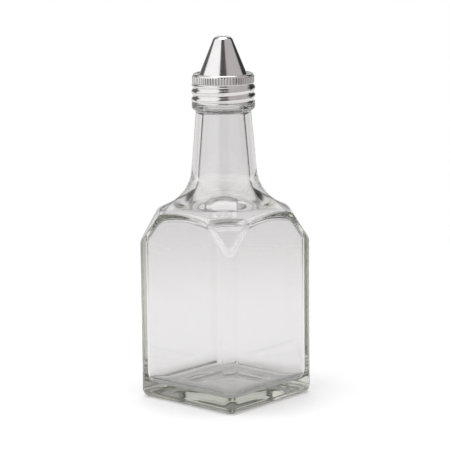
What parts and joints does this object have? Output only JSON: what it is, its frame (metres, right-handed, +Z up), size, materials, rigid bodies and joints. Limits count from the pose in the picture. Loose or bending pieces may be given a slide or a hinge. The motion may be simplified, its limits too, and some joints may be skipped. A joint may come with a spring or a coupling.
{
  "type": "glass oil bottle",
  "caption": "Square glass table bottle for oil or vinegar, with bevelled shoulder corners, a long neck, a ribbed steel screw cap and a conical pouring spout.",
  "frame": {"origin": "centre of the base, on the surface the bottle stands on", "axes": "+Z up along the neck and spout, +X and +Y square to two neighbouring flat faces of the body"},
  "size_m": [0.052, 0.052, 0.1505],
  "materials": {
    "clear_glass": "clear moulded glass with a faint green tint in thick places",
    "gasket": "soft food-grade plastic",
    "cap_steel": "bright rolled stainless steel",
    "spout_steel": "polished spun stainless steel"
  },
  "bodies": {
    "bottle": {"glass_bottle": "clear_glass"},
    "seal": {"sealing_gasket": "gasket"},
    "cap": {"screw_cap": "cap_steel", "spout_cone": "spout_steel"}
  },
  "joints": [
    {"name": "cap_rise", "type": "slide", "parent": "bottle", "child": "seal", "axis": [0, 0, 1], "range_m": [0, 0.01111]},
    {"name": "cap_turn", "type": "hinge", "parent": "seal", "child": "cap", "pos_m": [0, 0, 0.13], "axis": [0, 0, 1], "range_deg": [0, 1261]}
  ],
  "couplings": [
    {"joint": "cap_turn", "follows": "cap_rise", "rad_per_m": 1979}
  ]
}
